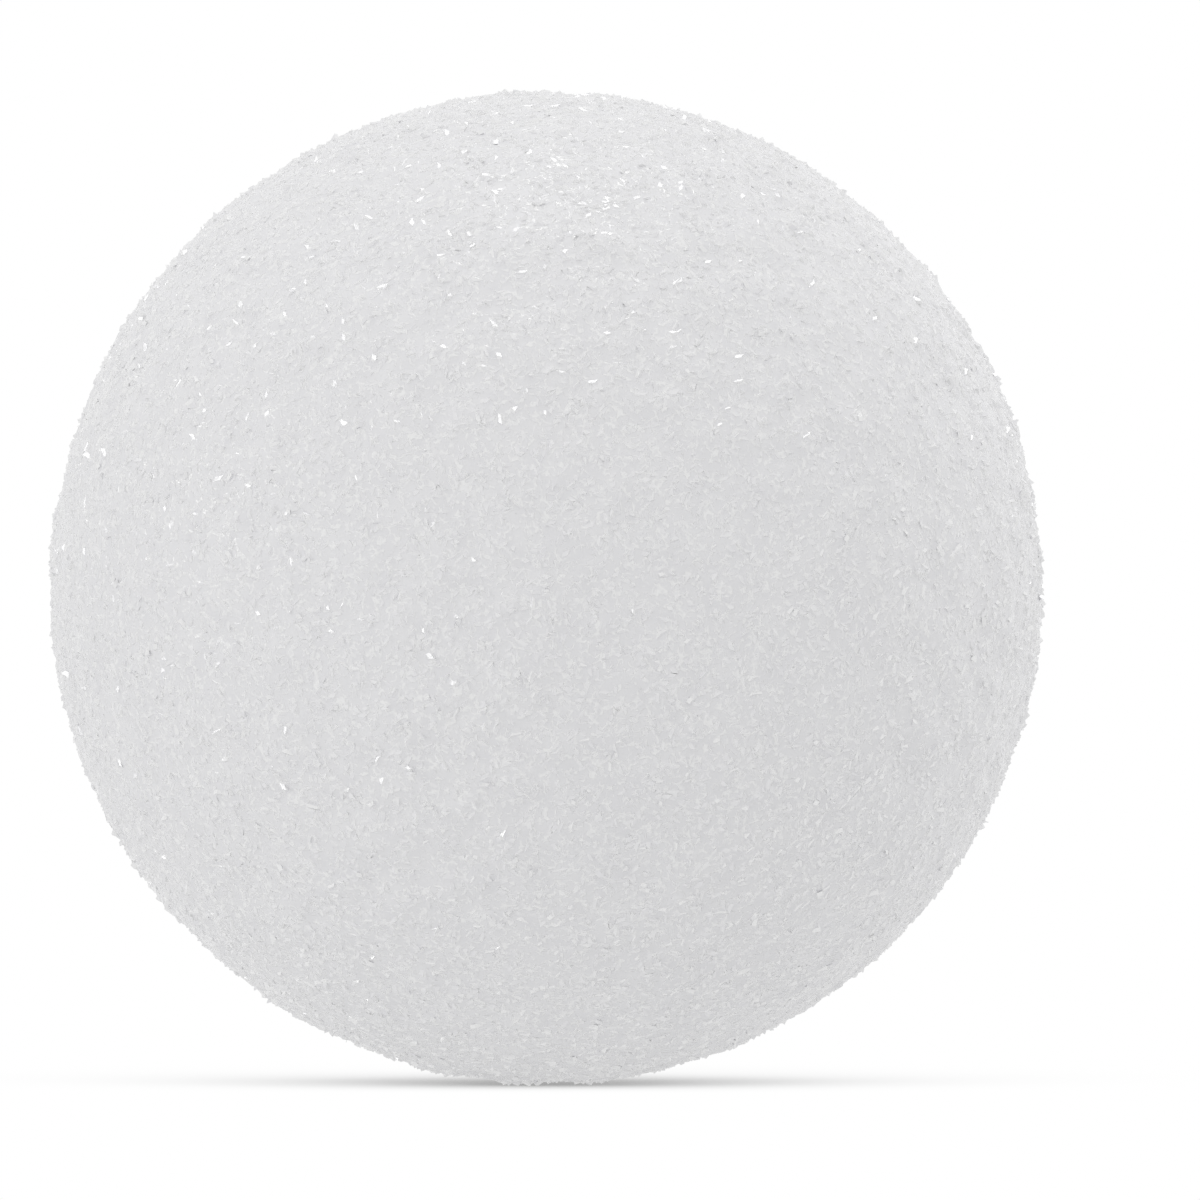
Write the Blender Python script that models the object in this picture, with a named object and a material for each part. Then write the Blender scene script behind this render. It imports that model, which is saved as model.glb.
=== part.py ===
"""Polystyrene craft ball, 1.3 in across.

The ball is one piece of closed-cell foam, ground round. Grinding tears the outer
cells open in small groups, and each group breaks along a plane of its own, so the
skin is a coarse grain of flat facets with steps between them and not a smooth
sphere. The highest crests of the grain lie on the ball's diameter, and the rest
of it lies under them.

The origin is the ball's centre, with +Z up. Lengths are in metres.
"""

import math

import bmesh
import bpy
from mathutils import Vector, noise

# Driving dimensions.
BALL_DIAMETER = 0.03302  # over the crests of the grain: 1.3 in
GRAIN_PITCH = 0.0011  # from one group of torn cells to the next
GRAIN_DEPTH = 0.00025  # from a crest to the lowest groups
STEP_HEIGHT = 0.00014  # how far neighbouring groups break off at unlike depths
STEP_RUN = 0.00035  # along the slope from one group's break down to the next
FACET_SIDE = 0.0009  # mean side of one flat facet

# Proportions of the grain, which have no length of their own.
BREAK_SLOPE = 0.6  # spread of the rise over run of the groups' break planes
SAMPLES_PER_FACET = 3.0  # points of the fine sphere along a facet's side
LAST_SUBDIVISION = 8  # the finest sphere that is worth its time
ICOSAHEDRON_FACES = 20  # faces of the icosphere before it is subdivided
FACES_PER_SPLIT = 4  # faces that a subdivision makes of each face

# Where each random pattern is read from, so that every build gives the same ball.
TILT_SEED = Vector((11.0, 47.0, 5.0))
DEPTH_SEED = Vector((83.0, 2.0, 61.0))
HASH_SPREAD = 1000.0  # far enough apart that no two groups share a random number
HALF = Vector((0.5, 0.5, 0.5))

FOAM_WHITE = (0.86, 0.86, 0.87, 1.0)
FOAM_ROUGHNESS = 0.55

BALL_NAME = "foam_ball"
COLLECTION_NAME = "polystyrene_ball"


def clear_scene():
    """Removes the objects that the scene starts with."""
    for obj in list(bpy.data.objects):
        bpy.data.objects.remove(obj)


def make_collection(name):
    """A collection for the parts, linked to the scene."""
    collection = bpy.data.collections.new(name)
    bpy.context.scene.collection.children.link(collection)
    return collection


def foam_material():
    """White foam, matt with a faint shine from its cell walls."""
    material = bpy.data.materials.new("white_foam")
    material.diffuse_color = FOAM_WHITE
    material.use_nodes = True
    shader = material.node_tree.nodes["Principled BSDF"]
    shader.inputs["Base Color"].default_value = FOAM_WHITE
    shader.inputs["Roughness"].default_value = FOAM_ROUGHNESS
    shader.inputs["Metallic"].default_value = 0.0
    return material


def facets_on(diameter):
    """How many triangles with sides of FACET_SIDE cover a sphere."""
    facet_height = FACET_SIDE * math.sin(math.radians(60))
    facet_area = FACET_SIDE * facet_height / 2
    return math.pi * diameter**2 / facet_area


def fine_subdivision(diameter):
    """Subdivision of the icosphere that has SAMPLES_PER_FACET points along a facet's side."""
    wanted = facets_on(diameter) * SAMPLES_PER_FACET**2
    splits = math.ceil(math.log(wanted / ICOSAHEDRON_FACES, FACES_PER_SPLIT))
    return min(1 + splits, LAST_SUBDIVISION)


def group_random(centre, seed):
    """Three random numbers from -0.5 to 0.5 that belong to one group of torn cells."""
    return noise.cell_vector(centre * HASH_SPREAD + seed) - HALF


def group_depth(centre, place):
    """Depth of one group's break plane at a place, both counted in grain pitches.

    The group has a depth of its own, and its plane tilts about the group's centre.
    """
    tilt = group_random(centre, TILT_SEED) * BREAK_SLOPE
    slope = (place - centre).dot(tilt) * GRAIN_PITCH
    step = group_random(centre, DEPTH_SEED).x * STEP_HEIGHT
    return GRAIN_DEPTH / 2 + slope + step


def break_depth(point):
    """Depth of the torn surface under the ball's sphere, at a point on that sphere.

    Inside a group it is the depth of that group's break. Within STEP_RUN of the
    next group it slopes over to that one's.
    """
    place = point / GRAIN_PITCH
    distances, centres = noise.voronoi(place)
    reach = distances[0] + STEP_RUN / GRAIN_PITCH
    shares = [max(reach - distance, 0.0) for distance in distances]
    depths = [group_depth(centre, place) for centre in centres]
    depth = sum(share * depth for share, depth in zip(shares, depths)) / sum(shares)
    return min(max(depth, 0.0), GRAIN_DEPTH)


def torn_sphere(diameter):
    """Mesh of the ball at full detail, with every point sunk by its break depth."""
    form = bmesh.new()
    bmesh.ops.create_icosphere(
        form, subdivisions=fine_subdivision(diameter), radius=diameter / 2
    )
    for vertex in form.verts:
        outward = vertex.co.normalized()
        vertex.co -= outward * break_depth(vertex.co)
    mesh = bpy.data.meshes.new(BALL_NAME)
    form.to_mesh(mesh)
    form.free()
    return mesh


def add_facets(ball, diameter):
    """Draws the grain together into flat facets of about FACET_SIDE."""
    facets = ball.modifiers.new("flat_facets", "DECIMATE")
    facets.decimate_type = "COLLAPSE"
    facets.ratio = min(1.0, facets_on(diameter) / len(ball.data.polygons))
    return facets


def build_ball():
    """The whole object: one solid with its origin at its centre."""
    ball = bpy.data.objects.new(BALL_NAME, torn_sphere(BALL_DIAMETER))
    ball.data.materials.append(foam_material())
    add_facets(ball, BALL_DIAMETER)
    make_collection(COLLECTION_NAME).objects.link(ball)
    return ball


clear_scene()
build_ball()
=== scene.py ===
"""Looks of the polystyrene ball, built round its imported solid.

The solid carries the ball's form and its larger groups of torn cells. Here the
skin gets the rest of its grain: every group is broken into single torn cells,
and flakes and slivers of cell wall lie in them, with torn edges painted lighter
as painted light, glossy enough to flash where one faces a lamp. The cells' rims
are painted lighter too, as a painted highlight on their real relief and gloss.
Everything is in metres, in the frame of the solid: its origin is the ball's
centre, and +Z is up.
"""

import logging
import math
from dataclasses import dataclass
from enum import Enum

import bpy
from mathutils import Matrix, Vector


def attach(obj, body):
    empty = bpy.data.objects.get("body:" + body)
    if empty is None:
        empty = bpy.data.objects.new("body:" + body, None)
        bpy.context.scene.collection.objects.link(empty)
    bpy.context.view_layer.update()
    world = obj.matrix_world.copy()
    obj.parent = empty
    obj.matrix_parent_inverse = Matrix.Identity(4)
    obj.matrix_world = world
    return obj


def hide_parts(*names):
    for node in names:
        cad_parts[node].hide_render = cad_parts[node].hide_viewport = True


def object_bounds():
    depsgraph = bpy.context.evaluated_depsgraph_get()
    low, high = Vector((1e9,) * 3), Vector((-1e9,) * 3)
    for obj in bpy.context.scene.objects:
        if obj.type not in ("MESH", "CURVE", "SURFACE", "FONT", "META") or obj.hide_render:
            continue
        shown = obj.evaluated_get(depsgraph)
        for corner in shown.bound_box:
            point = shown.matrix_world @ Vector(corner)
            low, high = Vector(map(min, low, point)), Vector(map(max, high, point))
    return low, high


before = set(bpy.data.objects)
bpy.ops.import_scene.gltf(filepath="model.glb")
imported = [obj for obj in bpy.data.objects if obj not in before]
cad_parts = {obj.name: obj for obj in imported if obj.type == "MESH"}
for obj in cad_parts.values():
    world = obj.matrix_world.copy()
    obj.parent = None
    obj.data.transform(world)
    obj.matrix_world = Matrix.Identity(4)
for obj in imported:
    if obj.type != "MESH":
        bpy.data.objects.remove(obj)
SOLID_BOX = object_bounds()

BALL_NODE = "foam_ball"
BODY = "root"
MILLIMETRE = 0.001
POLYSTYRENE_IOR = 1.59
WALL_TONE = "wall_tone"
TORN_EDGE_PAINTED_LIGHT = "torn_edge_painted_light"
GRAIN_INPUTS = {
    "Place": "NodeSocketVector",
    "Wall Tone": "NodeSocketFloat",
    # painted light on the shards' torn sides, which also makes them glossier
    "Torn Edge Painted Light": "NodeSocketFloat",
    "Rarity": "NodeSocketFloat",
    "Patch Share": "NodeSocketFloat",
    "Ground Share": "NodeSocketFloat",
    "Light": "NodeSocketColor",
    "Shade": "NodeSocketColor",
    "Patch Size": "NodeSocketFloat",
    "Cell Size": "NodeSocketFloat",
    "Rim Width": "NodeSocketFloat",
    # how strongly the rims are painted lighter, a painted highlight
    "Painted Rim Highlight": "NodeSocketFloat",
    "Smoothest": "NodeSocketFloat",
    "Roughest": "NodeSocketFloat",
}
GRAIN_OUTPUTS = {
    "Tone": "NodeSocketColor",
    "Relief": "NodeSocketFloat",
    "Roughness": "NodeSocketFloat",
}

log = logging.getLogger("polystyrene_ball")


class SkinDraw(Enum):
    """The skin's random draws, each with its own step from the seed."""

    SINK = 0
    STRAY = 1
    TONE = 2


class ShardDraw(Enum):
    """The shards' random draws, each with its own step from the seed.

    The two of a lean are added up, so that it is more often small than large.
    """

    LIFT = 1
    ROLL = 2
    PITCH = 3
    SPIN = 4
    LENGTH = 5
    WIDTH = 6
    TONE = 7
    SECOND_ROLL = 52
    SECOND_PITCH = 53


class NodeSketch:
    """Adds nodes to one tree and joins them."""

    COLUMN_WIDTH = 190.0

    def __init__(self, tree: bpy.types.NodeTree) -> None:
        """Starts at the first column of the tree that gets the nodes."""
        self.tree = tree
        self.columns = 0

    def add(self, kind: str, **settings: object) -> bpy.types.Node:
        """Adds one node to the right of the last.

        Args:
            kind: Blender's name for the sort of node.
            **settings: the node's own properties and their values.

        Returns:
            The new node.
        """
        node = self.tree.nodes.new(kind)
        node.location = (self.columns * self.COLUMN_WIDTH, 0.0)
        self.columns += 1
        for name, value in settings.items():
            setattr(node, name, value)
        return node

    def feed(self, target: bpy.types.NodeSocket, source: object) -> None:
        """Gives a socket its value, from another socket or as a constant.

        Args:
            target: the input socket.
            source: an output socket, or a plain value.
        """
        if isinstance(source, bpy.types.NodeSocket):
            self.tree.links.new(source, target)
        else:
            target.default_value = source

    def maths(self, operation: str, first: object, second: object = 0.0) -> bpy.types.NodeSocket:
        """Combines two numbers, or changes one.

        Args:
            operation: Blender's name for the sum.
            first: a socket or a number.
            second: a socket or a number, where the sum has a second term.

        Returns:
            The output socket of the sum.
        """
        node = self.add("ShaderNodeMath", operation=operation)
        self.feed(node.inputs[0], first)
        self.feed(node.inputs[1], second)
        return node.outputs[0]

    def scaled(self, vector: object, factor: object) -> bpy.types.NodeSocket:
        """Multiplies a vector by a number.

        Args:
            vector: a socket or a vector.
            factor: a socket or a number.

        Returns:
            The output socket of the product.
        """
        node = self.add("ShaderNodeVectorMath", operation="SCALE")
        self.feed(node.inputs["Vector"], vector)
        self.feed(node.inputs["Scale"], factor)
        return node.outputs["Vector"]

    def seed(self, base: bpy.types.NodeSocket, draw: Enum) -> bpy.types.NodeSocket:
        """Steps from the tree's seed to the seed of one random draw."""
        return self.maths("ADD", base, float(draw.value))

    def random(self, low: object, high: object, seed: object, kind: str = "VALUE") -> bpy.types.NodeSocket:
        """Draws a random number or vector for each element of the geometry.

        Args:
            low: the lowest value.
            high: the highest value.
            seed: the whole number that the draw starts from.
            kind: VALUE for a number, VECTOR for a vector.

        Returns:
            The output socket of the draw.
        """
        data_type = {"VALUE": "FLOAT", "VECTOR": "FLOAT_VECTOR"}[kind]
        node = self.add("FunctionNodeRandomValue", data_type=data_type)
        self.feed(typed_socket(node.inputs, "Min", kind), low)
        self.feed(typed_socket(node.inputs, "Max", kind), high)
        self.feed(node.inputs["Seed"], seed)
        return typed_socket(node.outputs, "Value", kind)

    def outward(self) -> bpy.types.NodeSocket:
        """Finds the direction from the ball's centre to each point.

        Returns:
            The output socket of the direction.
        """
        place = self.add("GeometryNodeInputPosition").outputs["Position"]
        away = self.add("ShaderNodeVectorMath", operation="NORMALIZE")
        self.feed(away.inputs[0], place)
        return away.outputs["Vector"]

    def rotated(self, rotation: bpy.types.NodeSocket, **angles: object) -> bpy.types.NodeSocket:
        """Turns a rotation further, about its own axes.

        Args:
            rotation: the socket of the rotation.
            **angles: an angle for each of the axes X, Y and Z that it turns about.

        Returns:
            The output socket of the new rotation.
        """
        about = self.add("ShaderNodeCombineXYZ")
        for axis, angle in angles.items():
            self.feed(about.inputs[axis], angle)
        further = self.add("FunctionNodeEulerToRotation")
        turned = self.add("FunctionNodeRotateRotation", rotation_space="LOCAL")
        self.feed(further.inputs["Euler"], about.outputs["Vector"])
        self.feed(turned.inputs["Rotation"], rotation)
        self.feed(turned.inputs["Rotate By"], further.outputs["Rotation"])
        return turned.outputs["Rotation"]

    def toned(self, geometry: bpy.types.NodeSocket, seed: object) -> bpy.types.NodeSocket:
        """Stores a random tone with each point, for the finish to read.

        Args:
            geometry: the socket that holds the points.
            seed: the whole number that the draw starts from.

        Returns:
            The socket that holds the points with their tones.
        """
        node = self.add("GeometryNodeStoreNamedAttribute", data_type="FLOAT", domain="POINT")
        self.feed(node.inputs["Geometry"], geometry)
        self.feed(node.inputs["Name"], WALL_TONE)
        self.feed(typed_socket(node.inputs, "Value", "VALUE"), self.random(0.0, 1.0, seed))
        return node.outputs["Geometry"]


def typed_socket(sockets: bpy.types.bpy_prop_collection, name: str, kind: str) -> bpy.types.NodeSocket:
    """Finds the first of a node's inputs or outputs that has a name and a type."""
    return next(socket for socket in sockets if socket.name == name and socket.type == kind)


class GeometryRecipe:
    """A Geometry Nodes tree with named inputs, which turns one mesh into another."""

    def __init__(self, name: str, inputs: dict[str, str]) -> None:
        """Makes the empty tree and its inputs.

        Args:
            name: the tree's name.
            inputs: the name of each input and the kind of its socket.
        """
        self.tree = bpy.data.node_groups.new(name, "GeometryNodeTree")
        self.sketch = NodeSketch(self.tree)
        interface = self.tree.interface
        interface.new_socket("Geometry", in_out="INPUT", socket_type="NodeSocketGeometry")
        for socket_name, kind in inputs.items():
            interface.new_socket(socket_name, in_out="INPUT", socket_type=kind)
        interface.new_socket("Geometry", in_out="OUTPUT", socket_type="NodeSocketGeometry")
        self.given = self.sketch.add("NodeGroupInput").outputs

    def close(self, geometry: bpy.types.NodeSocket) -> None:
        """Ends the tree with flat faces, real geometry and the material.

        Args:
            geometry: the socket that holds the finished shape.
        """
        realize = self.sketch.add("GeometryNodeRealizeInstances")
        flat = self.sketch.add("GeometryNodeSetShadeSmooth")
        dress = self.sketch.add("GeometryNodeSetMaterial")
        result = self.sketch.add("NodeGroupOutput")
        self.sketch.feed(realize.inputs["Geometry"], geometry)
        self.sketch.feed(flat.inputs["Geometry"], realize.outputs["Geometry"])
        self.sketch.feed(flat.inputs["Shade Smooth"], False)
        self.sketch.feed(dress.inputs["Geometry"], flat.outputs["Geometry"])
        self.sketch.feed(dress.inputs["Material"], self.given["Finish"])
        self.sketch.feed(result.inputs["Geometry"], dress.outputs["Geometry"])

    def run(self, name: str, source: bpy.types.Mesh, values: dict[str, object]) -> bpy.types.Object:
        """Runs the tree on a mesh.

        Args:
            name: the name of the new piece.
            source: the mesh that the tree starts from, which stays as it is.
            values: a value for each named input.

        Returns:
            A new object at the origin, whose mesh is the tree's result.
        """
        carrier = bpy.data.objects.new(name + "_carrier", source)
        bpy.context.scene.collection.objects.link(carrier)
        modifier = carrier.modifiers.new(self.tree.name, "NODES")
        modifier.node_group = self.tree
        for item in self.tree.interface.items_tree:
            if item.name in values:
                modifier[item.identifier] = values[item.name]
        graph = bpy.context.evaluated_depsgraph_get()
        mesh = bpy.data.meshes.new_from_object(carrier.evaluated_get(graph))
        bpy.data.objects.remove(carrier)
        mesh.name = name
        piece = bpy.data.objects.new(name, mesh)
        bpy.context.scene.collection.objects.link(piece)
        return piece


@dataclass(frozen=True)
class FoamFinish:
    """White foam: cells with raised glossy rims that are painted lighter as a painted highlight, and torn
    edges painted light, in a tone that changes from wall to wall.

    Attributes:
        name: the material's name.
        light: the lightest tone.
        shade: the darkest tone.
        ground_share: how near to the lightest tone the ground between the rims comes.
        patch_size: how large the lighter and darker patches are.
        patch_share: how much of the ground's tone comes from its patch. The rest is its wall's.
        rarity: how rare the light walls are.
        cell_size: how large the cells are.
        rim_width: how far the rims reach, as a difference in the cells' noise.
        painted_rim_highlight: how near to the lightest tone the rims are painted, as a painted highlight.
        rim_height: how far the rims stand out.
        bump_strength: how much of that height shows.
        smoothest: the roughness of rims and torn edges.
        roughest: the roughness of the ground.
        shine: the specular level.
    """

    name: str
    light: tuple[float, float, float] = (0.99, 0.99, 0.991)
    shade: tuple[float, float, float] = (0.868, 0.866, 0.886)
    ground_share: float = 0.4
    patch_size: float = 0.8 * MILLIMETRE
    patch_share: float = 0.7
    rarity: float = 1.0
    cell_size: float = 0.26 * MILLIMETRE
    rim_width: float = 0.12
    painted_rim_highlight: float = 1.0
    rim_height: float = 0.015 * MILLIMETRE
    bump_strength: float = 1.0
    smoothest: float = 0.12
    roughest: float = 0.5
    shine: float = 0.5

    def material(self, grain: bpy.types.ShaderNodeTree) -> bpy.types.Material:
        """Makes the finish.

        Args:
            grain: the group that gives all foam its tone, relief and roughness.

        Returns:
            The material.
        """
        material = bpy.data.materials.new(self.name)
        material.use_nodes = True
        tree = material.node_tree
        sketch = NodeSketch(tree)
        surface = tree.nodes["Principled BSDF"]
        values = {
            "Place": sketch.add("ShaderNodeTexCoord").outputs["Object"],
            "Wall Tone": sketch.add("ShaderNodeAttribute", attribute_name=WALL_TONE).outputs["Fac"],
            "Torn Edge Painted Light": sketch.add("ShaderNodeAttribute", attribute_name=TORN_EDGE_PAINTED_LIGHT).outputs["Fac"],
            "Rarity": self.rarity,
            "Patch Share": self.patch_share,
            "Ground Share": self.ground_share,
            "Light": (*self.light, 1.0),
            "Shade": (*self.shade, 1.0),
            "Patch Size": self.patch_size,
            "Cell Size": self.cell_size,
            "Rim Width": self.rim_width,
            "Painted Rim Highlight": self.painted_rim_highlight,
            "Smoothest": self.smoothest,
            "Roughest": self.roughest,
        }
        pattern = sketch.add("ShaderNodeGroup", node_tree=grain)
        for name, value in values.items():
            sketch.feed(pattern.inputs[name], value)
        bump = sketch.add("ShaderNodeBump")
        sketch.feed(bump.inputs["Strength"], self.bump_strength)
        sketch.feed(bump.inputs["Distance"], self.rim_height)
        sketch.feed(bump.inputs["Height"], pattern.outputs["Relief"])
        sketch.feed(surface.inputs["Base Color"], pattern.outputs["Tone"])
        sketch.feed(surface.inputs["Roughness"], pattern.outputs["Roughness"])
        sketch.feed(surface.inputs["Normal"], bump.outputs["Normal"])
        surface.inputs["IOR"].default_value = POLYSTYRENE_IOR
        surface.inputs["Specular IOR Level"].default_value = self.shine
        return material


@dataclass(frozen=True)
class FoamGrain:
    """The pattern that all foam shares, as one group of shader nodes.

    Attributes:
        patch_detail: how many finer layers the patches' noise has.
        patch_low: the noise of the darkest patches.
        patch_high: the noise of the lightest patches.
        wall_detail: how many finer layers the cells' noise has.
        rim_level: the noise that the cells' rims run along.
        torn_off: the noise under which a rim is gone.
        left_standing: the noise over which a rim is whole.
    """

    patch_detail: float = 2.0
    patch_low: float = 0.3
    patch_high: float = 0.7
    wall_detail: float = 1.0
    rim_level: float = 0.5
    torn_off: float = 0.42
    left_standing: float = 0.54

    def group(self) -> bpy.types.ShaderNodeTree:
        """Makes the group.

        Returns:
            A group that puts out a tone, with a painted highlight on the cells' rims and painted light on
            torn edges, the relief of the cells' rims and a roughness.
        """
        grain = bpy.data.node_groups.new("foam_grain", "ShaderNodeTree")
        for name, kind in GRAIN_INPUTS.items():
            grain.interface.new_socket(name, in_out="INPUT", socket_type=kind)
        for name, kind in GRAIN_OUTPUTS.items():
            grain.interface.new_socket(name, in_out="OUTPUT", socket_type=kind)
        sketch = NodeSketch(grain)
        given = sketch.add("NodeGroupInput").outputs
        result = sketch.add("NodeGroupOutput").inputs

        strokes = self.strokes(sketch, given)
        # The rims are painted lighter, a painted highlight over their real relief and gloss; the torn
        # edges are painted light too. The ground's patches and walls vary in tone at random.
        lit = sketch.maths("MULTIPLY", strokes, given["Painted Rim Highlight"])
        ground = sketch.maths("MULTIPLY", self.ground(sketch, given), given["Ground Share"])
        lighter = sketch.maths("MAXIMUM", sketch.maths("MAXIMUM", ground, lit), given["Torn Edge Painted Light"])
        tone = sketch.add("ShaderNodeMix", data_type="RGBA")
        sketch.feed(typed_socket(tone.inputs, "Factor", "VALUE"), lighter)
        sketch.feed(typed_socket(tone.inputs, "A", "RGBA"), given["Shade"])
        sketch.feed(typed_socket(tone.inputs, "B", "RGBA"), given["Light"])
        gloss = sketch.add("ShaderNodeMapRange")
        sketch.feed(gloss.inputs["Value"], sketch.maths("MAXIMUM", strokes, given["Torn Edge Painted Light"]))
        sketch.feed(gloss.inputs["To Min"], given["Roughest"])
        sketch.feed(gloss.inputs["To Max"], given["Smoothest"])

        sketch.feed(result["Tone"], typed_socket(tone.outputs, "Result", "RGBA"))
        sketch.feed(result["Relief"], strokes)
        sketch.feed(result["Roughness"], gloss.outputs["Result"])
        return grain

    def ground(self, sketch: NodeSketch, given: bpy.types.bpy_prop_collection) -> bpy.types.NodeSocket:
        """Works out how light the ground is.

        Args:
            sketch: the group's tree.
            given: the group's inputs.

        Returns:
            A socket from 0 on the darkest walls and patches to 1 on the lightest.
        """
        patches = sketch.add("ShaderNodeTexNoise")
        sketch.feed(patches.inputs["Vector"], given["Place"])
        sketch.feed(patches.inputs["Scale"], sketch.maths("DIVIDE", 1.0, given["Patch Size"]))
        sketch.feed(patches.inputs["Detail"], self.patch_detail)
        stretched = sketch.add("ShaderNodeMapRange")
        sketch.feed(stretched.inputs["Value"], patches.outputs["Fac"])
        sketch.feed(stretched.inputs["From Min"], self.patch_low)
        sketch.feed(stretched.inputs["From Max"], self.patch_high)
        few_light = sketch.maths("POWER", given["Wall Tone"], given["Rarity"])
        blend = sketch.add("ShaderNodeMix", data_type="FLOAT")
        sketch.feed(typed_socket(blend.inputs, "Factor", "VALUE"), given["Patch Share"])
        sketch.feed(typed_socket(blend.inputs, "A", "VALUE"), few_light)
        sketch.feed(typed_socket(blend.inputs, "B", "VALUE"), stretched.outputs["Result"])
        return typed_socket(blend.outputs, "Result", "VALUE")

    def strokes(self, sketch: NodeSketch, given: bpy.types.bpy_prop_collection) -> bpy.types.NodeSocket:
        """Draws the cells' rims, as far as the walls there are left standing.

        Args:
            sketch: the group's tree.
            given: the group's inputs.

        Returns:
            A socket that is 1 on a rim and 0 between the rims.
        """
        walls = sketch.add("ShaderNodeTexNoise")
        sketch.feed(walls.inputs["Vector"], given["Place"])
        sketch.feed(walls.inputs["Scale"], sketch.maths("DIVIDE", 1.0, given["Cell Size"]))
        sketch.feed(walls.inputs["Detail"], self.wall_detail)
        past_rim = sketch.maths("SUBTRACT", walls.outputs["Fac"], self.rim_level)
        rims = sketch.add("ShaderNodeMapRange", interpolation_type="SMOOTHSTEP")
        sketch.feed(rims.inputs["Value"], sketch.maths("ABSOLUTE", past_rim))
        sketch.feed(rims.inputs["From Max"], given["Rim Width"])
        sketch.feed(rims.inputs["To Min"], 1.0)
        sketch.feed(rims.inputs["To Max"], 0.0)
        chance = sketch.add("ShaderNodeSeparateXYZ")
        sketch.feed(chance.inputs[0], walls.outputs["Color"])
        standing = sketch.add("ShaderNodeMapRange", interpolation_type="SMOOTHSTEP")
        sketch.feed(standing.inputs["Value"], chance.outputs["Z"])
        sketch.feed(standing.inputs["From Min"], self.torn_off)
        sketch.feed(standing.inputs["From Max"], self.left_standing)
        return sketch.maths("MULTIPLY", rims.outputs["Result"], standing.outputs["Result"])


@dataclass
class TornSkin:
    """The ball itself: the solid's facets, broken again into single torn cells.

    Attributes:
        weld: points of the solid that are nearer than this are one.
        splits: how many times each facet is split.
        softening: how many times the steps between the facets are evened out.
        cell_depth: how deep the lowest cells are sunk.
        cell_stray: how far the cells' corners move sideways.
        kept_share: the share of the faces that thinning keeps.
        seed: where the skin's random draws start.
    """

    weld: float = 0.001 * MILLIMETRE
    splits: int = 2
    softening: int = 9
    cell_depth: float = 0.013 * MILLIMETRE
    cell_stray: float = 0.06 * MILLIMETRE
    kept_share: float = 0.8
    seed: int = 7

    def recipe(self) -> GeometryRecipe:
        """Makes the tree that breaks facets into cells.

        Returns:
            The recipe, with its sizes as inputs.
        """
        recipe = GeometryRecipe(
            "torn_skin",
            {
                "Weld": "NodeSocketFloat",
                "Splits": "NodeSocketInt",
                "Softening": "NodeSocketInt",
                "Cell Depth": "NodeSocketFloat",
                "Cell Stray": "NodeSocketFloat",
                "Seed": "NodeSocketInt",
                "Finish": "NodeSocketMaterial",
            },
        )
        sketch, given = recipe.sketch, recipe.given
        weld = sketch.add("GeometryNodeMergeByDistance")
        split = sketch.add("GeometryNodeSubdivideMesh")
        sketch.feed(weld.inputs["Geometry"], given["Geometry"])
        sketch.feed(weld.inputs["Distance"], given["Weld"])
        sketch.feed(split.inputs["Mesh"], weld.outputs["Geometry"])
        sketch.feed(split.inputs["Level"], given["Splits"])

        place = sketch.add("GeometryNodeInputPosition").outputs["Position"]
        blur = sketch.add("GeometryNodeBlurAttribute", data_type="FLOAT_VECTOR")
        sketch.feed(typed_socket(blur.inputs, "Value", "VECTOR"), place)
        sketch.feed(blur.inputs["Iterations"], given["Softening"])
        soften = sketch.add("GeometryNodeSetPosition")
        sketch.feed(soften.inputs["Geometry"], split.outputs["Mesh"])
        sketch.feed(soften.inputs["Position"], typed_socket(blur.outputs, "Value", "VECTOR"))
        outward = sketch.outward()
        depth = sketch.random(-1.0, 0.0, sketch.seed(given["Seed"], SkinDraw.SINK))
        sink = sketch.maths("MULTIPLY", depth, given["Cell Depth"])
        stray_seed = sketch.seed(given["Seed"], SkinDraw.STRAY)
        stray = sketch.random((-1.0, -1.0, -1.0), (1.0, 1.0, 1.0), stray_seed, "VECTOR")
        across = sketch.add("ShaderNodeVectorMath", operation="CROSS_PRODUCT")
        sketch.feed(across.inputs[0], outward)
        sketch.feed(across.inputs[1], stray)
        shift = sketch.add("ShaderNodeVectorMath", operation="ADD")
        sketch.feed(shift.inputs[0], sketch.scaled(outward, sink))
        sketch.feed(shift.inputs[1], sketch.scaled(across.outputs["Vector"], given["Cell Stray"]))
        move = sketch.add("GeometryNodeSetPosition")
        sketch.feed(move.inputs["Geometry"], soften.outputs["Geometry"])
        sketch.feed(move.inputs["Offset"], shift.outputs["Vector"])
        tone_seed = sketch.seed(given["Seed"], SkinDraw.TONE)
        recipe.close(sketch.toned(move.outputs["Geometry"], tone_seed))
        return recipe

    def thin(self, piece: bpy.types.Object) -> None:
        """Draws the flattest faces together, until only the kept share of them is left.

        Args:
            piece: the skin.
        """
        modifier = piece.modifiers.new("thin", "DECIMATE")
        modifier.ratio = self.kept_share
        graph = bpy.context.evaluated_depsgraph_get()
        mesh = bpy.data.meshes.new_from_object(piece.evaluated_get(graph))
        piece.modifiers.remove(modifier)
        full = piece.data
        piece.data = mesh
        bpy.data.meshes.remove(full)

    def build(self, solid: bpy.types.Mesh, finish: bpy.types.Material) -> bpy.types.Object:
        """Builds the skin and lets it stand for the solid.

        Args:
            solid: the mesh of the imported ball.
            finish: the foam's material.

        Returns:
            The piece.
        """
        piece = self.recipe().run(
            "torn_skin",
            solid,
            {
                "Weld": self.weld,
                "Splits": self.splits,
                "Softening": self.softening,
                "Cell Depth": self.cell_depth,
                "Cell Stray": self.cell_stray,
                "Seed": self.seed,
                "Finish": finish,
            },
        )
        self.thin(piece)
        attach(piece, BODY)
        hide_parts(BALL_NODE)
        return piece


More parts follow.
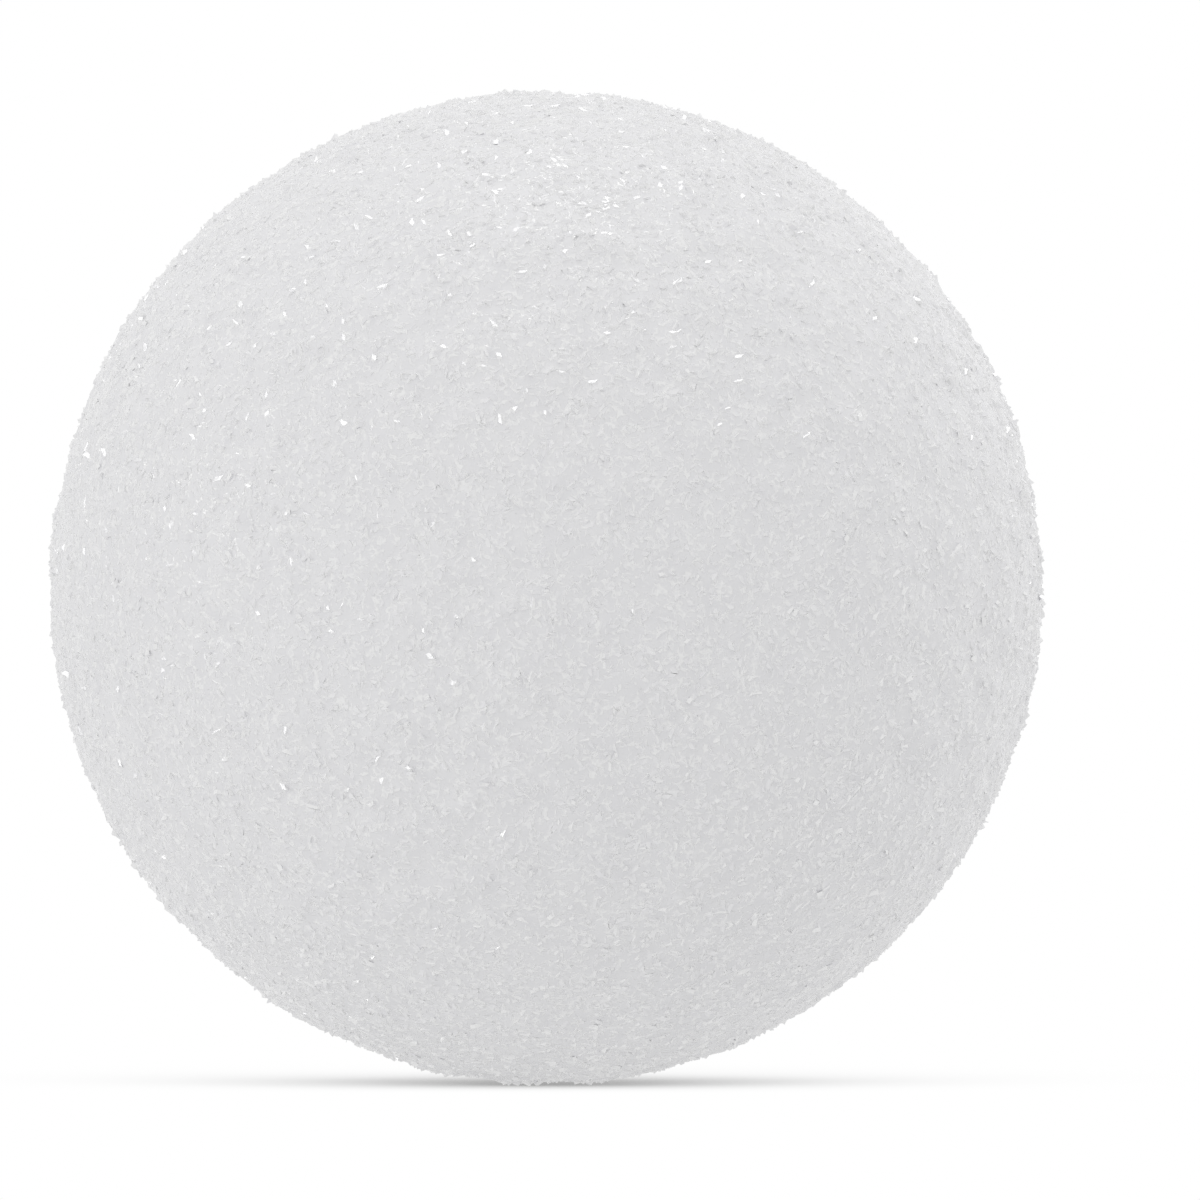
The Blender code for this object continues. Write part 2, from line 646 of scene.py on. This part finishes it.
class ShardForm(Enum):
    """A loose bit of cell wall, by how many corners it has."""

    FLAKE = 4
    SLIVER = 3

    @property
    def corner_distance(self) -> float:
        """Places the corners of a shard that is one unit long.

        Returns:
            How far they lie from its middle.
        """
        if self is ShardForm.FLAKE:
            return math.sqrt(0.5)
        return 2.0 / 3.0


@dataclass
class WallShards:
    """Bits of torn cell wall, strewn over the ball.

    Attributes:
        name: the piece's name.
        form: flakes or slivers.
        count: about how many there are.
        seed: where their random draws start.
        shortest: the least length.
        longest: the greatest length.
        narrowest: the least width.
        widest: the greatest width.
        thickness: how far a shard reaches down from its top.
        proud: how far the tops stand out of the skin.
        roll: the greatest lean across a shard's length.
        pitch: the greatest lean along its length.
        clearance: the share of a lean's drop that its shard is raised by.
        cling: how far a shard takes the slope of its facet and not of the ball.
        lift: how far a top strays up or down from that.
        slant: how skewed a shard's outline is.
        flare: how many times as wide as its top its foot is.
    """

    name: str
    form: ShardForm
    count: int
    seed: int
    shortest: float
    longest: float
    narrowest: float
    widest: float
    thickness: float
    proud: float
    roll: float = math.radians(48.0)
    pitch: float = math.radians(38.0)
    clearance: float = 0.17
    cling: float = 0.5
    lift: float = 0.003 * MILLIMETRE
    slant: float = 0.35
    flare: float = 1.05

    def shard(self, sketch: NodeSketch) -> bpy.types.NodeSocket:
        """Makes one shard, a unit long, wide and thick, with its top at the origin.

        Its foot is wider than its top, so that light reaches its sides, which are
        marked as torn edges. The finish paints these sides lighter, as painted light
        that evens out the shade between the shards.

        Args:
            sketch: the tree that gets the shard's nodes.

        Returns:
            The socket that holds the shard's mesh.
        """
        block = sketch.add("GeometryNodeMeshCone")
        sketch.feed(block.inputs["Vertices"], self.form.value)
        sketch.feed(block.inputs["Radius Top"], self.form.corner_distance)
        sketch.feed(block.inputs["Radius Bottom"], self.form.corner_distance * self.flare)
        sketch.feed(block.inputs["Depth"], 1.0)
        sunk = sketch.add("GeometryNodeTransform")
        sketch.feed(sunk.inputs["Geometry"], block.outputs["Mesh"])
        sketch.feed(sunk.inputs["Translation"], (0.0, 0.0, -1.0))
        sketch.feed(sunk.inputs["Rotation"], (0.0, 0.0, math.pi / self.form.value))
        corner = sketch.add("ShaderNodeSeparateXYZ")
        sketch.feed(corner.inputs[0], sketch.add("GeometryNodeInputPosition").outputs["Position"])
        along = sketch.add("ShaderNodeCombineXYZ")
        sketch.feed(along.inputs["X"], sketch.maths("MULTIPLY", corner.outputs["Y"], self.slant))
        slanted = sketch.add("GeometryNodeSetPosition")
        sketch.feed(slanted.inputs["Geometry"], sunk.outputs["Geometry"])
        sketch.feed(slanted.inputs["Offset"], along.outputs["Vector"])
        # Marks the sides, which the finish paints lighter as painted light.
        torn = sketch.add("GeometryNodeStoreNamedAttribute", data_type="FLOAT", domain="FACE")
        sketch.feed(torn.inputs["Geometry"], slanted.outputs["Geometry"])
        sketch.feed(torn.inputs["Name"], TORN_EDGE_PAINTED_LIGHT)
        sketch.feed(typed_socket(torn.inputs, "Value", "VALUE"), block.outputs["Side"])
        return torn.outputs["Geometry"]

    def lean(
        self, sketch: NodeSketch, reach: object, seeds: tuple[bpy.types.NodeSocket, bpy.types.NodeSocket]
    ) -> bpy.types.NodeSocket:
        """Draws an angle that is more often small than large.

        Args:
            sketch: the tree that gets the nodes.
            reach: the largest angle, either way.
            seeds: where the two draws that it is made of start.

        Returns:
            The output socket of the angle.
        """
        first = sketch.random(-0.5, 0.5, seeds[0])
        second = sketch.random(-0.5, 0.5, seeds[1])
        return sketch.maths("MULTIPLY", sketch.maths("ADD", first, second), reach)

    def recipe(self) -> GeometryRecipe:
        """Makes the tree that strews shards over a surface.

        Returns:
            The recipe, with its sizes as inputs.
        """
        recipe = GeometryRecipe(
            self.name,
            {
                "Per Square Metre": "NodeSocketFloat",
                "Shortest": "NodeSocketFloat",
                "Longest": "NodeSocketFloat",
                "Narrowest": "NodeSocketFloat",
                "Widest": "NodeSocketFloat",
                "Thickness": "NodeSocketFloat",
                "Cling": "NodeSocketFloat",
                "Roll": "NodeSocketFloat",
                "Pitch": "NodeSocketFloat",
                "Clearance": "NodeSocketFloat",
                "Proud": "NodeSocketFloat",
                "Lift": "NodeSocketFloat",
                "Seed": "NodeSocketInt",
                "Finish": "NodeSocketMaterial",
            },
        )
        sketch, given = recipe.sketch, recipe.given
        seeds = {draw: sketch.seed(given["Seed"], draw) for draw in ShardDraw}
        strew = sketch.add("GeometryNodeDistributePointsOnFaces", distribute_method="RANDOM")
        sketch.feed(strew.inputs["Mesh"], given["Geometry"])
        sketch.feed(strew.inputs["Density"], given["Per Square Metre"])
        sketch.feed(strew.inputs["Seed"], given["Seed"])

        roll_seeds = (seeds[ShardDraw.ROLL], seeds[ShardDraw.SECOND_ROLL])
        pitch_seeds = (seeds[ShardDraw.PITCH], seeds[ShardDraw.SECOND_PITCH])
        roll = self.lean(sketch, given["Roll"], roll_seeds)
        pitch = self.lean(sketch, given["Pitch"], pitch_seeds)
        size = sketch.add("ShaderNodeCombineXYZ")
        length = sketch.random(given["Shortest"], given["Longest"], seeds[ShardDraw.LENGTH])
        width = sketch.random(given["Narrowest"], given["Widest"], seeds[ShardDraw.WIDTH])
        sketch.feed(size.inputs["X"], length)
        sketch.feed(size.inputs["Y"], width)
        sketch.feed(size.inputs["Z"], given["Thickness"])

        across_drop = sketch.maths("MULTIPLY", sketch.maths("ABSOLUTE", roll), width)
        along_drop = sketch.maths("MULTIPLY", sketch.maths("ABSOLUTE", pitch), length)
        drop = sketch.maths("ADD", across_drop, along_drop)
        uneven = sketch.random(-1.0, 1.0, seeds[ShardDraw.LIFT])
        raised = self.raised(recipe, strew.outputs["Points"], drop, uneven)
        upright = self.upright(recipe, strew.outputs["Normal"])
        spun = sketch.rotated(upright, Z=sketch.random(0.0, math.tau, seeds[ShardDraw.SPIN]))

        place_shards = sketch.add("GeometryNodeInstanceOnPoints")
        sketch.feed(place_shards.inputs["Points"], sketch.toned(raised, seeds[ShardDraw.TONE]))
        sketch.feed(place_shards.inputs["Instance"], self.shard(sketch))
        sketch.feed(place_shards.inputs["Rotation"], sketch.rotated(spun, X=roll, Y=pitch))
        sketch.feed(place_shards.inputs["Scale"], size.outputs["Vector"])
        recipe.close(place_shards.outputs["Instances"])
        return recipe

    def raised(
        self,
        recipe: GeometryRecipe,
        points: bpy.types.NodeSocket,
        drop: bpy.types.NodeSocket,
        uneven: bpy.types.NodeSocket,
    ) -> bpy.types.NodeSocket:
        """Sets the top of each shard at its own height over the skin.

        Args:
            recipe: the shards' tree.
            points: the socket that holds the shards' places on the skin.
            drop: how far each shard's lean lowers its edges.
            uneven: from -1 on the lowest shards to 1 on the highest.

        Returns:
            The socket that holds the raised places.
        """
        sketch, given = recipe.sketch, recipe.given
        kept_clear = sketch.maths("MULTIPLY", drop, given["Clearance"])
        lift = sketch.maths("MULTIPLY", uneven, given["Lift"])
        rise = sketch.maths("ADD", sketch.maths("ADD", lift, kept_clear), given["Proud"])
        move = sketch.add("GeometryNodeSetPosition")
        sketch.feed(move.inputs["Geometry"], points)
        sketch.feed(move.inputs["Offset"], sketch.scaled(sketch.outward(), rise))
        return move.outputs["Geometry"]

    def upright(self, recipe: GeometryRecipe, slope: bpy.types.NodeSocket) -> bpy.types.NodeSocket:
        """Faces each shard between straight out of the ball and straight out of its facet.

        Args:
            recipe: the shards' tree.
            slope: the normal of the facet that each shard lies on.

        Returns:
            The socket of the rotation.
        """
        sketch, given = recipe.sketch, recipe.given
        facing = sketch.add("ShaderNodeMix", data_type="VECTOR")
        sketch.feed(typed_socket(facing.inputs, "Factor", "VALUE"), given["Cling"])
        sketch.feed(typed_socket(facing.inputs, "A", "VECTOR"), sketch.outward())
        sketch.feed(typed_socket(facing.inputs, "B", "VECTOR"), slope)
        upright = sketch.add("FunctionNodeAlignRotationToVector", axis="Z")
        sketch.feed(upright.inputs["Vector"], typed_socket(facing.outputs, "Result", "VECTOR"))
        return upright.outputs["Rotation"]

    def build(self, skin: bpy.types.Mesh, finish: bpy.types.Material) -> bpy.types.Object:
        """Builds the shards and lets them ride on the ball.

        Args:
            skin: the mesh of the torn skin, whose faces the shards lie on.
            finish: the shards' material.

        Returns:
            The piece.
        """
        area = sum(face.area for face in skin.polygons)
        piece = self.recipe().run(
            self.name,
            skin,
            {
                "Per Square Metre": self.count / area,
                "Shortest": self.shortest,
                "Longest": self.longest,
                "Narrowest": self.narrowest,
                "Widest": self.widest,
                "Thickness": self.thickness,
                "Cling": self.cling,
                "Roll": self.roll,
                "Pitch": self.pitch,
                "Clearance": self.clearance,
                "Proud": self.proud,
                "Lift": self.lift,
                "Seed": self.seed,
                "Finish": finish,
            },
        )
        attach(piece, BODY)
        return piece


def flakes(number: int) -> WallShards:
    """One layer of flat flakes.

    Args:
        number: which layer, from 1.

    Returns:
        The shards of that layer.
    """
    return WallShards(
        name=f"wall_flakes_{number}",
        form=ShardForm.FLAKE,
        count=11000,
        seed=100 * number,
        shortest=0.16 * MILLIMETRE,
        longest=0.36 * MILLIMETRE,
        narrowest=0.07 * MILLIMETRE,
        widest=0.16 * MILLIMETRE,
        thickness=0.14 * MILLIMETRE,
        proud=0.004 * MILLIMETRE,
    )


def slivers(number: int) -> WallShards:
    """One layer of thin slivers.

    Args:
        number: which layer, from 1.

    Returns:
        The shards of that layer.
    """
    return WallShards(
        name=f"wall_slivers_{number}",
        form=ShardForm.SLIVER,
        count=24500,
        seed=1000 * number,
        shortest=0.13 * MILLIMETRE,
        longest=0.34 * MILLIMETRE,
        narrowest=0.03 * MILLIMETRE,
        widest=0.06 * MILLIMETRE,
        thickness=0.07 * MILLIMETRE,
        proud=0.002 * MILLIMETRE,
        roll=math.radians(36.0),
        pitch=math.radians(6.0),
    )


@dataclass(frozen=True)
class Lamp:
    """One round studio lamp, aimed at the ball.

    Attributes:
        name: the lamp's name.
        direction: where it stands, from the ball's centre.
        level: what it adds to a white card that faces it.
        half_angle: the angle from its middle to its rim, seen from the ball.
        glints: whether glossy walls mirror it.
        distance: how far it is from the ball's centre.
    """

    name: str
    direction: tuple[float, float, float]
    level: float
    half_angle: float = math.radians(35.0)
    glints: bool = False
    distance: float = 1.0

    def build(self) -> None:
        """Places the lamp."""
        light = bpy.data.lights.new(self.name, "AREA")
        light.shape = "DISK"
        light.size = 2.0 * self.distance * math.tan(self.half_angle)
        light.energy = self.level * (math.pi * self.distance / math.cos(self.half_angle)) ** 2
        lamp = bpy.data.objects.new(self.name, light)
        bpy.context.scene.collection.objects.link(lamp)
        towards = Vector(self.direction).normalized()
        lamp.location = towards * self.distance
        lamp.rotation_euler = towards.to_track_quat("Z", "Y").to_euler()
        lamp.visible_camera = False
        lamp.visible_glossy = self.glints


@dataclass(frozen=True)
class Studio:
    """The white room: its soft light from all sides, its lamps and its floor.

    Attributes:
        soft_level: the level of the light from all sides.
        open_sky: the share of open sky from which the floor is as bright as the room.
        shadow_falloff: how soon the shadow gives way to light.
        sky_tilt: how far forward of straight up the sky is that lights the floor.
        sky_reach: how near a thing must be to shade the floor.
        sky_samples: how many rays look for such things.
        floor_side: how long and wide the floor is.
        lamps: the lamps.
    """

    soft_level: float = 0.63
    open_sky: float = 0.9
    shadow_falloff: float = 3.0
    sky_tilt: float = math.radians(40.0)
    sky_reach: float = 60.0 * MILLIMETRE
    sky_samples: int = 16
    floor_side: float = 3.0
    lamps: tuple[Lamp, ...] = (
        Lamp("overhead", (0.05, 0.29, 0.96), level=0.083, half_angle=math.radians(11.0), glints=True),
        Lamp("left", (-0.95, -0.12, 0.29), level=0.065, half_angle=math.radians(9.0), glints=True),
        Lamp("soft_right", (0.43, -0.25, 0.87), level=0.09),
        Lamp("soft_low_left", (-0.75, -0.35, -0.55), level=0.08),
        Lamp("soft_front", (0.0, -0.95, 0.2), level=0.07),
        Lamp("soft_back_right", (0.6, 0.8, 0.05), level=0.24),
        Lamp("soft_back_left", (-0.45, 0.8, 0.4), level=0.08),
    )

    def build(self, ground: float) -> None:
        """Builds the room.

        Args:
            ground: the height of the floor.
        """
        self.build_world()
        self.build_floor(ground)
        for lamp in self.lamps:
            lamp.build()

    def seen_directly(self, sketch: NodeSketch) -> bpy.types.NodeSocket:
        """Tells rays that show the room itself from those that light the ball.

        Args:
            sketch: the tree that gets the nodes.

        Returns:
            A socket that is 1 where the room is seen or mirrored, and 0 where it lights.
        """
        path = sketch.add("ShaderNodeLightPath").outputs
        mirrored = sketch.maths("MAXIMUM", path["Is Glossy Ray"], path["Is Transmission Ray"])
        return sketch.maths("MAXIMUM", path["Is Camera Ray"], mirrored)

    def build_world(self) -> None:
        """Makes the world white to look at and soft as a light."""
        world = bpy.data.worlds.new("white_room")
        world.use_nodes = True
        bpy.context.scene.world = world
        sketch = NodeSketch(world.node_tree)
        background = world.node_tree.nodes["Background"]
        strength = sketch.add("ShaderNodeMapRange")
        sketch.feed(strength.inputs["Value"], self.seen_directly(sketch))
        sketch.feed(strength.inputs["To Min"], self.soft_level)
        sketch.feed(strength.inputs["To Max"], 1.0)
        sketch.feed(background.inputs["Color"], (1.0, 1.0, 1.0, 1.0))
        sketch.feed(background.inputs["Strength"], strength.outputs["Result"])

    def build_floor(self, ground: float) -> None:
        """Lays the floor, which keeps the ball's shadow.

        Args:
            ground: the height of the floor.
        """
        half = self.floor_side / 2.0
        around = ((-half, -half), (half, -half), (half, half), (-half, half))
        corners = [(right, back, ground) for right, back in around]
        mesh = bpy.data.meshes.new("floor")
        mesh.from_pydata(corners, [], [tuple(range(len(corners)))])
        floor = bpy.data.objects.new("floor", mesh)
        bpy.context.scene.collection.objects.link(floor)
        mesh.materials.append(self.floor_material())

    def floor_material(self) -> bpy.types.Material:
        """Makes the floor's paint.

        Returns:
            A white as bright as the room, darker where the ball shuts out the room's
            light. It is only there to look at from above: it lets the light from below
            through, and doesn't hide the ball from there.
        """
        material = bpy.data.materials.new("floor_white")
        material.use_nodes = True
        tree = material.node_tree
        tree.nodes.remove(tree.nodes["Principled BSDF"])
        sketch = NodeSketch(tree)
        sky = sketch.add("ShaderNodeAmbientOcclusion", samples=self.sky_samples)
        sketch.feed(sky.inputs["Distance"], self.sky_reach)
        forward = sketch.add("ShaderNodeCombineXYZ")
        sketch.feed(forward.inputs["Y"], -math.sin(self.sky_tilt))
        sketch.feed(forward.inputs["Z"], math.cos(self.sky_tilt))
        sketch.feed(sky.inputs["Normal"], forward.outputs["Vector"])
        shut_out = sketch.add("ShaderNodeMapRange")
        sketch.feed(shut_out.inputs["Value"], sky.outputs["AO"])
        sketch.feed(shut_out.inputs["From Max"], self.open_sky)
        sketch.feed(shut_out.inputs["To Min"], 1.0)
        sketch.feed(shut_out.inputs["To Max"], 0.0)
        shadow = sketch.maths("POWER", shut_out.outputs["Result"], self.shadow_falloff)
        glow = sketch.add("ShaderNodeEmission")
        sketch.feed(glow.inputs["Strength"], sketch.maths("SUBTRACT", 1.0, shadow))
        clear = sketch.add("ShaderNodeBsdfTransparent")
        from_below = sketch.add("ShaderNodeNewGeometry").outputs["Backfacing"]
        from_above = sketch.maths("SUBTRACT", 1.0, from_below)
        floor = sketch.add("ShaderNodeMixShader")
        sketch.feed(floor.inputs[0], sketch.maths("MULTIPLY", self.seen_directly(sketch), from_above))
        sketch.feed(floor.inputs[1], clear.outputs["BSDF"])
        sketch.feed(floor.inputs[2], glow.outputs["Emission"])
        sketch.feed(tree.nodes["Material Output"].inputs["Surface"], floor.outputs["Shader"])
        return material


@dataclass(frozen=True)
class PhotoCamera:
    """The camera of the photograph: a long lens, a little above the ball's middle.

    Attributes:
        picture_side: the side of the picture, in pixels.
        centre_right: how far right of the picture's middle the ball's centre is, in pixels.
        centre_up: how far over the picture's middle the ball's centre is, in pixels.
        distance: how far it is from the ball's centre.
        elevation: how far it looks down.
        lens: the focal length, in millimetres.
        sensor: the sensor's width, in millimetres.
        nearest: the nearest that it sees.
        farthest: the farthest that it sees.
    """

    picture_side: float = 1200.0
    centre_right: float = -54.0
    centre_up: float = 12.5
    distance: float = 1.1045
    elevation: float = math.radians(0.45)
    lens: float = 1000.0
    sensor: float = 36.0
    nearest: float = 0.01
    farthest: float = 20.0

    def build(self) -> None:
        """Places the camera and makes it the scene's."""
        data = bpy.data.cameras.new("photo_camera")
        data.lens = self.lens
        data.sensor_width = self.sensor
        data.clip_start = self.nearest
        data.clip_end = self.farthest
        camera = bpy.data.objects.new("photo_camera", data)
        bpy.context.scene.collection.objects.link(camera)
        back = Vector((0.0, -math.cos(self.elevation), math.sin(self.elevation)))
        camera.location = back * self.distance
        focal = self.lens / self.sensor * self.picture_side
        yaw = math.atan(self.centre_right / focal)
        pitch = math.atan(self.centre_up / focal)
        camera.rotation_euler = (math.pi / 2.0 - self.elevation - pitch, 0.0, yaw)
        bpy.context.scene.camera = camera


def report(piece: bpy.types.Object) -> None:
    """Logs a piece's name and how many triangles it has."""
    triangles = sum(len(face.vertices) - 2 for face in piece.data.polygons)
    log.info("%s: %d triangles", piece.name, triangles)


def main() -> None:
    """Dresses the ball, then builds the room and the camera."""
    logging.basicConfig(level=logging.INFO, format="%(message)s")
    bpy.context.scene.view_settings.view_transform = "Standard"
    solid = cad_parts[BALL_NODE].data
    grain = FoamGrain().group()
    foam = FoamFinish("torn_foam").material(grain)
    wall = FoamFinish(
        "cell_wall",
        ground_share=0.7,
        patch_share=0.4,
        rarity=2.0,
        painted_rim_highlight=0.7,
        bump_strength=0.1,
        smoothest=0.08,
        roughest=0.14,
        shine=1.0,
    ).material(grain)
    edge = FoamFinish(
        "wall_edge",
        ground_share=1.0,
        patch_share=0.2,
        rarity=1.5,
        bump_strength=0.2,
        smoothest=0.1,
        roughest=0.3,
        shine=1.0,
    ).material(grain)

    pieces = [TornSkin().build(solid, foam)]
    skin = pieces[0].data
    for layer in (1, 2, 3):
        pieces.append(flakes(layer).build(skin, wall))
    for layer in (1, 2):
        pieces.append(slivers(layer).build(skin, edge))
    for piece in pieces:
        report(piece)

    Studio().build(SOLID_BOX[0][2])
    PhotoCamera().build()


if __name__ == "__main__":
    main()
